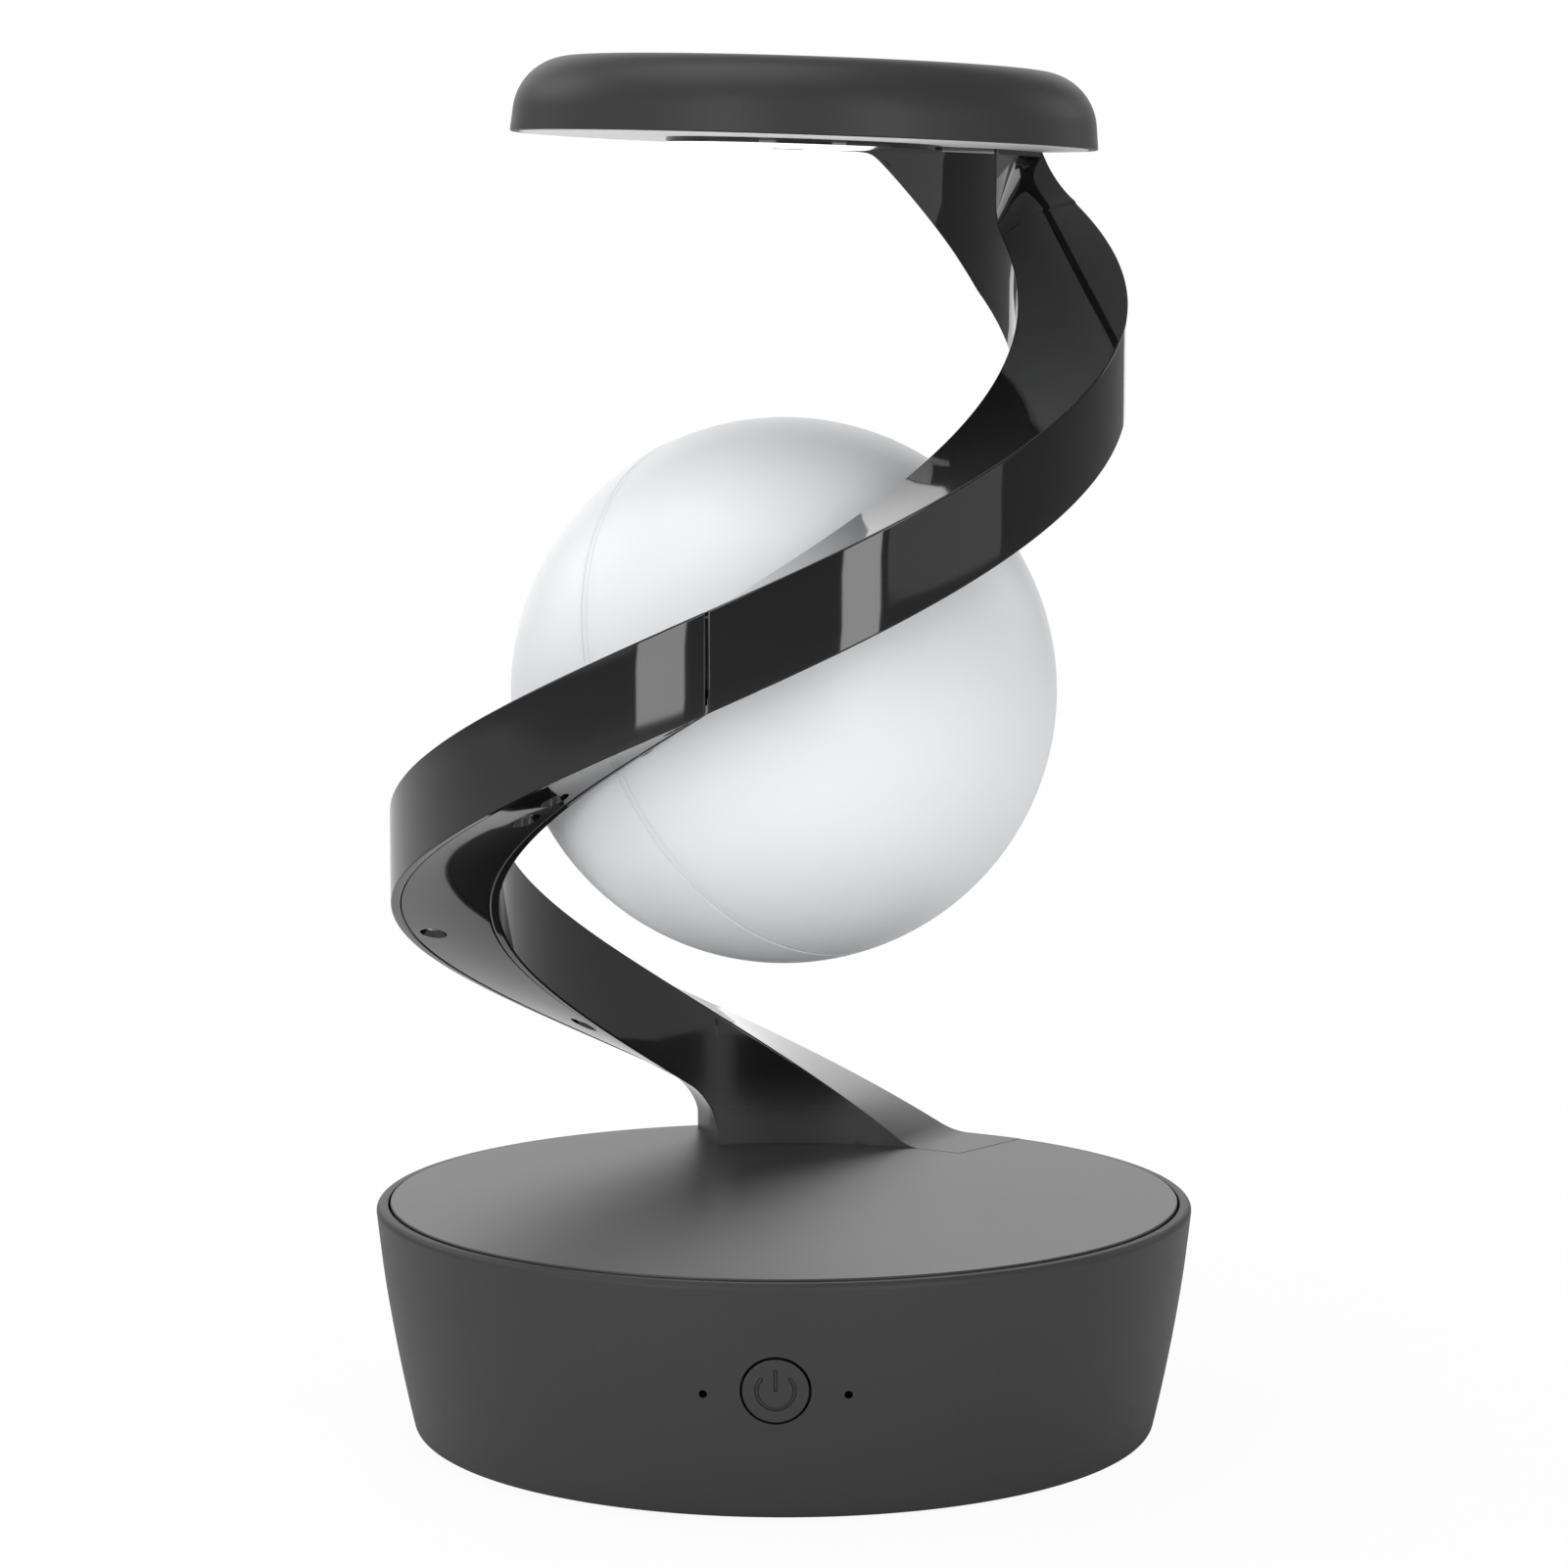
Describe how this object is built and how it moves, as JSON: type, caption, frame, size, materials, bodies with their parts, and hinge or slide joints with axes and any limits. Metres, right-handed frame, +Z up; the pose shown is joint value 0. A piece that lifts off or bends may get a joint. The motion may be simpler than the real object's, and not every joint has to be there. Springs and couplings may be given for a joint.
{
  "type": "magnetic balance lamp",
  "caption": "Table lamp with a round tapered base, a helical arm, a disc head and a lit ball held to the inside of the arm by a magnet.",
  "frame": {"origin": "on the table, in the middle of the base's underside", "axes": "+Z up, -Y towards the power button, +X to the right of someone who faces the button"},
  "size_m": [0.1498, 0.1498, 0.2522],
  "materials": {
    "arm_gloss": "smooth dark grey moulding with a high gloss",
    "base_plastic": "fine matte texture",
    "head_plastic": "fine matte texture",
    "ball_white": "translucent white, satin",
    "diffuser_white": "opal white, satin",
    "inner_white": "plain white moulding",
    "soft_rubber": "dull soft rubber",
    "steel": "plated steel",
    "screw_steel": "zinc plated",
    "head_aluminium": "plain sheet",
    "cable_grey": "flat cable",
    "cell_wrap": "wrapped cell",
    "board_green": "printed board",
    "board_white": "white printed board",
    "chip_black": "moulded component",
    "led_lens": "lamp lens",
    "clear_pipe": "clear light pipe"
  },
  "bodies": {
    "lamp": {"anti_slip_ring": "soft_rubber", "arm_wiring": "cable_grey", "ballast_plate": "steel", "base_housing": "base_plastic", "board_components": "chip_black", "board_screws": "screw_steel", "bottom_cover": "base_plastic", "bottom_cover_screws": "screw_steel", "button_board": "board_green", "button_switch": "chip_black", "deck_screws": "screw_steel", "deck_with_lower_arm": "arm_gloss", "head_chassis": "head_aluminium", "head_leds": "led_lens", "head_light_board": "board_white", "head_shell": "head_plastic", "head_shell_screws": "screw_steel", "head_stud_screws": "screw_steel", "indicator_light_pipes": "clear_pipe", "light_diffuser": "diffuser_white", "lower_arm_cover": "arm_gloss", "lower_cover_screws": "screw_steel", "magnet_cap": "arm_gloss", "main_board": "board_green", "upper_arm": "arm_gloss", "upper_arm_cover": "arm_gloss", "upper_cover_screws": "screw_steel", "usb_c_inlet": "steel"},
    "magnet": {"arm_magnet": "steel"},
    "ball": {"ball_battery": "cell_wrap", "ball_board_posts": "inner_white", "ball_frame": "inner_white", "ball_front_half": "ball_white", "ball_keeper_plate": "steel", "ball_leds": "led_lens", "ball_light_boards": "board_white", "ball_rear_half": "ball_white", "ball_seam_band": "ball_white"},
    "button": {"power_button": "base_plastic"}
  },
  "joints": [
    {"name": "ball_spin", "type": "hinge", "parent": "lamp", "child": "magnet", "pos_m": [0, 0, 0.1368], "axis": [0.52, 0.8542, 0], "continuous": true},
    {"name": "ball_pull", "type": "slide", "parent": "magnet", "child": "ball", "axis": [0.52, 0.8542, 0], "range_m": [0, 0.13]},
    {"name": "power_press", "type": "slide", "parent": "lamp", "child": "button", "axis": [0, 1, 0], "range_m": [0, 0.0008], "stiffness_N_per_m": 800, "springref_m": -0.0005}
  ]
}
